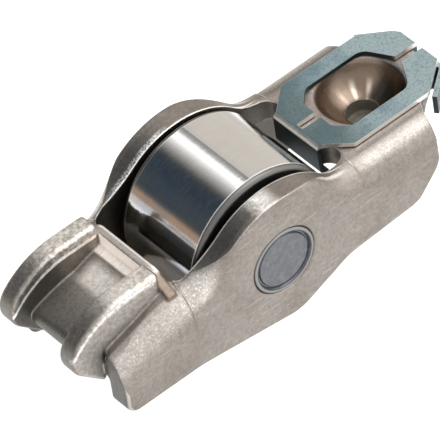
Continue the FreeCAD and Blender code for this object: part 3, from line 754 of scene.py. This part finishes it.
clipLook = {
    "base": (0.205, 0.300, 0.340),
    "pale": (0.38, 0.475, 0.50),
    "deep": (0.085, 0.120, 0.125),
    # painted shade on the flanges under the web
    "flange": (0.035, 0.050, 0.056),
    "cut": (0.80, 0.79, 0.75),
    "grain": (3.6, 4, 0.75),
    "fine": (8.0, 2, 0.6),
    "cloud": (0.30, 2, 0.5),
    "clouded": (0.40, 0.62),
    "cloudedStrength": 0.5,
    "pivotStart": (16.0, 22.0),
    "pivotStrength": 0.9,
    "nearEnd": (-5, -2),
    "nearStrength": 0.3,
    "valveEnd": (11.5, 15.5),
    "valveStrength": 0.65,
    "grained": (0.44, 0.74),
    "grainedStrength": 0.6,
    "toneShare": (0.45, 1.1),
    "upward": (0.72, 0.95),
    "shadedStart": (0.0, 1.0),
    "shadedStop": (4.6, 5.2),
    "shadedLength": (12.0, 24.0, 0.3),
    "cutFoot": (3.95, 4.15),
    "flangeStrength": 0.9,
    "edgeRadius": 0.10,
    "edgeSamples": 6,
    "sharp": (0.04, 0.2),
    "edgeFoot": (3.9, 4.2),
    "edgeShade": 0.8,
    "edgeStrength": 0.9,
    "roughness": 0.40,
    "grainRoughness": 0.3,
    "edgeGloss": 0.15,
    "depth": 0.02,
    "bump": 0.6,
}


def clipSteel():
    look = clipLook
    clip = Sheet("clipSteel")
    place = clip.armPlace()
    x, y, z = clip.split(place)
    grain = clip.noise(place, *look["grain"])
    fine = clip.noise(place, *look["fine"])
    cloud = clip.noise(place, *look["cloud"])
    facing = clip.add("NewGeometry", output="Normal")
    facingUp = clip.split(facing)[2]
    pale = clip.rise(cloud, *look["clouded"]) * look["cloudedStrength"]
    pale = pale + clip.rise(x, *look["pivotStart"]) * look["pivotStrength"]
    pale = pale + clip.fall(y, *look["nearEnd"]) * look["nearStrength"]
    color = clip.mix(pale, look["base"], look["pale"])
    valve = clip.fall(x, *look["valveEnd"])
    color = clip.mix(valve * look["valveStrength"], color, look["deep"])
    grained = clip.rise(grain, *look["grained"])
    color = clip.mix(grained * look["grainedStrength"], color, look["deep"])
    color = clip.mix(1.0, color, clip.share(fine, *look["toneShare"]), "MULTIPLY")

    # the sheet's cut side is bright, with a painted highlight on the bends and painted shade where
    # it hangs under the web, and the flanges that go under the web get painted shade
    upright = clip.fall(facingUp, *look["upward"])
    shaded = clip.rise(y, *look["shadedStart"]) * clip.fall(y, *look["shadedStop"])
    shaded = shaded * clip.band(x, *look["shadedLength"])
    cut = clip.rise(z, *look["cutFoot"])
    color = clip.mix(upright * cut, color, clip.mix(shaded, look["cut"], look["deep"]))
    color = clip.mix(upright * (1 - cut) * look["flangeStrength"], color, look["flange"])
    # painted highlights along the sharp edges
    edge = clip.rise(clip.edges(look["edgeRadius"], look["edgeSamples"]), *look["sharp"])
    edge = edge * clip.rise(z, *look["edgeFoot"]) * (1 - shaded * look["edgeShade"])
    color = clip.mix(edge * look["edgeStrength"], color, look["cut"])
    roughness = look["roughness"] + (grain - 0.5) * look["grainRoughness"]
    roughness = roughness - edge * look["edgeGloss"]
    normal = clip.bump(grain + fine, look["depth"], look["bump"])
    clip.set(color=color, metallic=1.0, roughness=roughness, normal=normal)
    return clip.material


def dress(name, material):
    for slot in nodes[name].material_slots:
        slot.material = material


dress("arm", armSteel())
dress("axle", axleSteel())
dress("roller", rollerSteel())
dress("retaining_clip", clipSteel())
needleFinish = rollerSteel()
for name in needleNames:
    dress(name, needleFinish)
print("finishes on")


# a pale bench that glows a little, darker far off and where the arm shades it
tableLook = {
    "size": 3.0,
    "tone": (0.35, 0.35, 0.35),
    "roughness": 0.9,
    "lit": (0.98, 0.98, 0.98),
    "far": (0.36, 0.31, 0.27),
    "farReach": (38.0, 120.0),
    "shade": (0.10, 0.078, 0.052),
    "shadeLength": (-17.0, 7.0, 1.6),
    "shadeWidth": (-5.8, 9.5, 0.4),
}


def makeTable():
    look = tableLook
    mesh = bpy.data.meshes.new("table")
    form = bmesh.new()
    bmesh.ops.create_grid(form, x_segments=1, y_segments=1, size=look["size"] / 2)
    bmesh.ops.translate(form, verts=form.verts, vec=Vector((rollerCenter.x, 0, benchHeight)))
    form.to_mesh(mesh)
    form.free()
    table = bpy.data.objects.new("table", mesh)
    bpy.context.scene.collection.objects.link(table)
    sheet = Sheet("tableGlass")
    x, y, _ = sheet.split(sheet.armPlace())
    shade = sheet.band(x, *look["shadeLength"]) * sheet.band(y, *look["shadeWidth"])
    far = sheet.rise((x * x + y * y) ** 0.5, *look["farReach"])
    lit = sheet.mix(far, look["lit"], look["far"])
    sheet.set(color=look["tone"], roughness=look["roughness"])
    sheet.glow(sheet.mix(shade, lit, look["shade"]))
    mesh.materials.append(sheet.material)


# a tent round the bench, plain in front and banded in the rear. A band has its degrees from
# straight up, below 0 on the left and above 0 on the right
skyLook = {
    "front": (1.05, 1.05, 1.05),
    "frontRight": (1.9, 1.9, 1.9),
    "rightward": (-0.2, 0.5),
    "rearward": (-0.05, 0.25),
    "rear": (
        (-96, (0.50, 0.35, 0.25)),
        (-83, (0.50, 0.35, 0.25)),
        (-78, (0.13, 0.125, 0.12)),
        (-73, (0.074, 0.088, 0.098)),
        (-35, (0.062, 0.086, 0.110)),
        (-27, (0.068, 0.092, 0.116)),
        (-22, (0.11, 0.118, 0.125)),
        (-19, (0.195, 0.195, 0.19)),
        (-13, (0.41, 0.41, 0.40)),
        (-7, (0.72, 0.72, 0.71)),
        (-2, (1.12, 1.12, 1.10)),
        (2.5, (1.62, 1.62, 1.60)),
        (11.5, (1.62, 1.62, 1.62)),
        (14.5, (0.42, 0.42, 0.42)),
        (19, (0.32, 0.32, 0.315)),
        (23, (0.74, 0.71, 0.68)),
        (30, (0.86, 0.81, 0.75)),
        (95, (0.88, 0.83, 0.77)),
    ),
}


class Sky(Sheet):
    def __init__(self, name):
        self.world = bpy.data.worlds.new(name)
        self.world.use_nodes = True
        self.tree = self.world.node_tree
        self.back = next(n for n in self.tree.nodes if n.type == "BACKGROUND")


def makeWorld():
    look = skyLook
    sky = Sky("tent")
    bpy.context.scene.world = sky.world
    x, y, z = sky.split(sky.add("TexCoord", output="Generated"))
    turn = sky.add("Math", {"operation": "ARCTAN2"}, [x, z]) / (2 * math.pi) + 0.5
    stops = [(0.5 + degrees / 360, tone) for degrees, tone in look["rear"]]
    rear = sky.add("ValToRGB", {"stops": stops}, [turn])
    front = sky.mix(sky.rise(x, *look["rightward"]), look["front"], look["frontRight"])
    sky.feed(sky.back.inputs["Color"], sky.mix(sky.rise(y, *look["rearward"]), front, rear))


# one soft lamp above the near side, in metres from the roller's centre
lampLook = {
    "place": (0.12, -0.12, 0.45),
    "size": (0.4, 0.4),
    "power": 0.9,
}


def makeLamp():
    lamp = bpy.data.lights.new("topSoftbox", "AREA")
    lamp.shape = "RECTANGLE"
    lamp.size, lamp.size_y = lampLook["size"]
    lamp.energy = lampLook["power"]
    holder = bpy.data.objects.new("topSoftbox", lamp)
    bpy.context.scene.collection.objects.link(holder)
    place = rollerCenter + Vector(lampLook["place"])
    holder.location = place
    holder.rotation_euler = (place - rollerCenter).to_track_quat("Z", "Y").to_euler()


makeTable()
makeWorld()
makeLamp()
print("studio lit")


# the photograph's viewpoint, found from the part's outlines: a long lens from above the near wall
view = {
    "azimuth": -38.98,
    "elevation": 41.30,
    "roll": -1.30,
    "distance": 0.679,
    "lens": 582.1,
    "sensor": 36,
    "aim": (-17.467, 0.0, -7.702),
}


def makeCamera():
    turn, lift = math.radians(view["azimuth"]), math.radians(view["elevation"])
    reach = math.cos(lift)
    back = Vector((math.sin(turn) * reach, -math.cos(turn) * reach, math.sin(lift)))
    data = bpy.data.cameras.new("camera")
    data.lens = view["lens"]
    data.sensor_width = view["sensor"]
    camera = bpy.data.objects.new("camera", data)
    bpy.context.scene.collection.objects.link(camera)
    camera.location = Vector(view["aim"]) * mm + back * view["distance"]
    level = back.to_track_quat("Z", "Y").to_matrix()
    roll = Matrix.Rotation(math.radians(view["roll"]), 3, "Z")
    camera.rotation_euler = (level @ roll).to_euler()
    bpy.context.scene.camera = camera


makeCamera()
bpy.context.scene.view_settings.view_transform = "Standard"
print("camera set")
